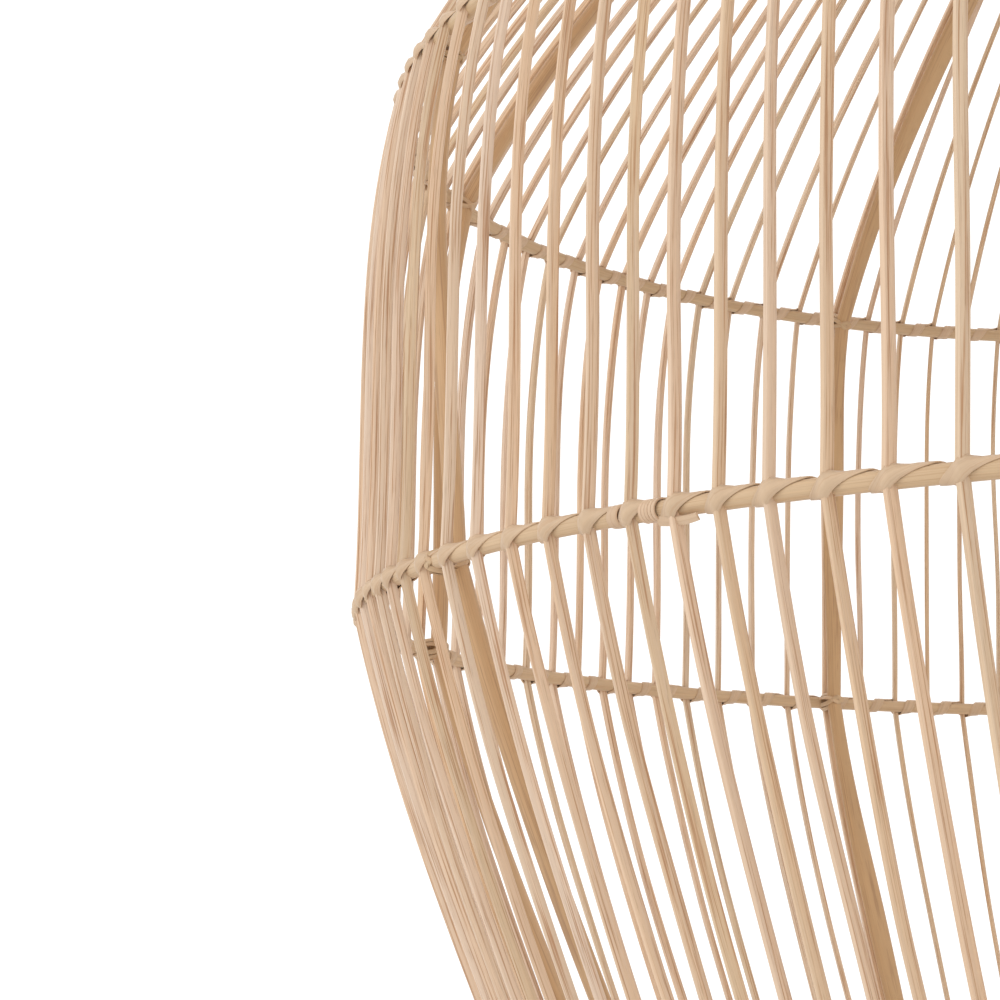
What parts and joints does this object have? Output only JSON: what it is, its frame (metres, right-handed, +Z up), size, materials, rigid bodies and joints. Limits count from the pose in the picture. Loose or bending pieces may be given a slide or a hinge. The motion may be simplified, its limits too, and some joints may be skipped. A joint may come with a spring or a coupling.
{
  "type": "rattan pendant lamp shade",
  "caption": "Pendant lamp shade: an open cage of upright rattan splints lashed to cane hoops, widest at the belly, with a wire fitter, screw lampholder and globe bulb.",
  "frame": {"origin": "on the lamp's axis at the top face of the cord grip, where the cord leaves it", "axes": "+Z up along the lamp's axis; -Y towards the side that the picture shows nearest, +X to its right"},
  "size_m": [0.5973, 0.5973, 0.7464],
  "materials": {
    "rattan": "matt split rattan with its grain showing, uncoated",
    "cane": "satin round cane",
    "steel_wire": "satin zinc-plated wire",
    "black_plastic": "moulded, satin",
    "ceramic": "glazed insulator",
    "brass": "plain",
    "cap_metal": "bright pressed shell",
    "clear_glass": "clear",
    "filament": "phosphor-coated sticks"
  },
  "bodies": {
    "lampholder": {"cord_grip": "black_plastic", "lampholder_cap": "black_plastic", "lampholder_body": "black_plastic", "lampholder_core": "ceramic", "lampholder_shell": "brass", "centre_contact": "brass", "terminal_screw_left": "brass", "terminal_screw_right": "brass"},
    "shade": {"splints_01": "rattan", "splints_02": "rattan", "splints_03": "rattan", "splints_04": "rattan", "splints_05": "rattan", "splints_06": "rattan", "splints_07": "rattan", "splints_08": "rattan", "splints_09": "rattan", "splints_10": "rattan", "splints_11": "rattan", "splints_12": "rattan", "splints_13": "rattan", "splints_14": "rattan", "splints_15": "rattan", "splints_16": "rattan", "splints_17": "rattan", "splints_18": "rattan", "splints_19": "rattan", "splints_20": "rattan", "splints_21": "rattan", "splints_22": "rattan", "splints_23": "rattan", "splints_24": "rattan", "hoop_top": "cane", "hoop_shoulder": "cane", "hoop_belly": "cane", "hoop_lower": "cane", "hoop_mouth": "cane", "rib_1": "rattan", "rib_2": "rattan", "rib_3": "rattan", "rib_4": "rattan", "rib_5": "rattan", "rib_6": "rattan", "rib_7": "rattan", "rib_8": "rattan", "spider_rim": "steel_wire", "spider_hub": "steel_wire", "spider_arm_1": "steel_wire", "spider_arm_2": "steel_wire", "spider_arm_3": "steel_wire"},
    "shade_ring_upper": {"shade_ring_upper": "black_plastic"},
    "shade_ring_lower": {"shade_ring_lower": "black_plastic"},
    "bulb": {"bulb_glass": "clear_glass", "bulb_cap": "cap_metal", "bulb_tip": "cap_metal", "bulb_insulator": "black_plastic", "bulb_stem": "clear_glass", "bulb_filament": "filament"}
  },
  "joints": [
    {"name": "shade_swivel", "type": "hinge", "parent": "lampholder", "child": "shade", "pos_m": [0, 0, 0], "axis": [0, 0, 1], "continuous": true},
    {"name": "upper_ring_turn", "type": "hinge", "parent": "lampholder", "child": "shade_ring_upper", "pos_m": [0, 0, 0], "axis": [0, 0, 1], "continuous": true},
    {"name": "lower_ring_turn", "type": "hinge", "parent": "lampholder", "child": "shade_ring_lower", "pos_m": [0, 0, 0], "axis": [0, 0, 1], "continuous": true},
    {"name": "bulb_turn", "type": "hinge", "parent": "lampholder", "child": "bulb", "pos_m": [0, 0, 0], "axis": [0, 0, 1], "continuous": true}
  ]
}
